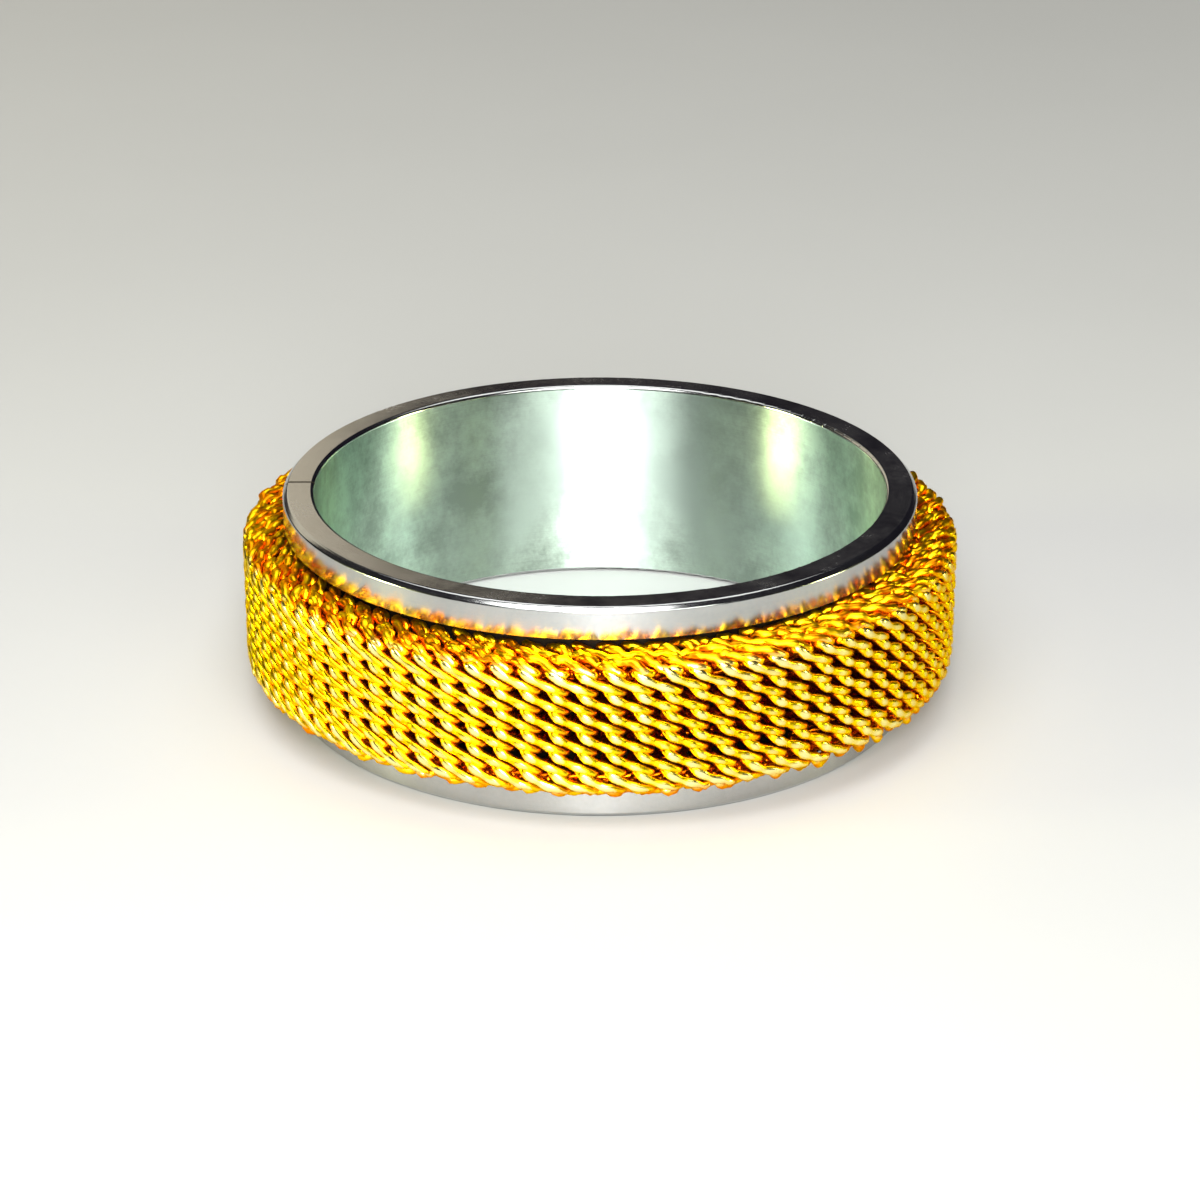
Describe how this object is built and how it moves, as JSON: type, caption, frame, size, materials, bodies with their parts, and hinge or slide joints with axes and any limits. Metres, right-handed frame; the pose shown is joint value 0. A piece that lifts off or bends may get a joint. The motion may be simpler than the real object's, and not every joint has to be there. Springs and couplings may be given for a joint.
{
  "type": "spinner ring",
  "caption": "Finger ring with a steel band, two polished rims and a woven gold sleeve that spins freely in the channel between them.",
  "frame": {"origin": "on the finger's axis, at the side face that the ring rests on", "axes": "+Z along the finger's axis, up from the side that the ring lies on to the side with the closing seam; -X towards that seam; +Y away from the picture's view"},
  "size_m": [0.026, 0.026, 0.0078],
  "materials": {
    "steel": "polished rim cylinders and bevels, satin side faces and bore",
    "gold_wire": "bright gold-plated wire, woven in rows"
  },
  "bodies": {
    "ring_band": {"band": "steel"},
    "spinner": {"mesh_sleeve": "gold_wire"}
  },
  "joints": [
    {"name": "sleeve_spin", "type": "hinge", "parent": "ring_band", "child": "spinner", "pos_m": [0, 0, 0.0039], "axis": [0, 0, 1], "continuous": true}
  ]
}
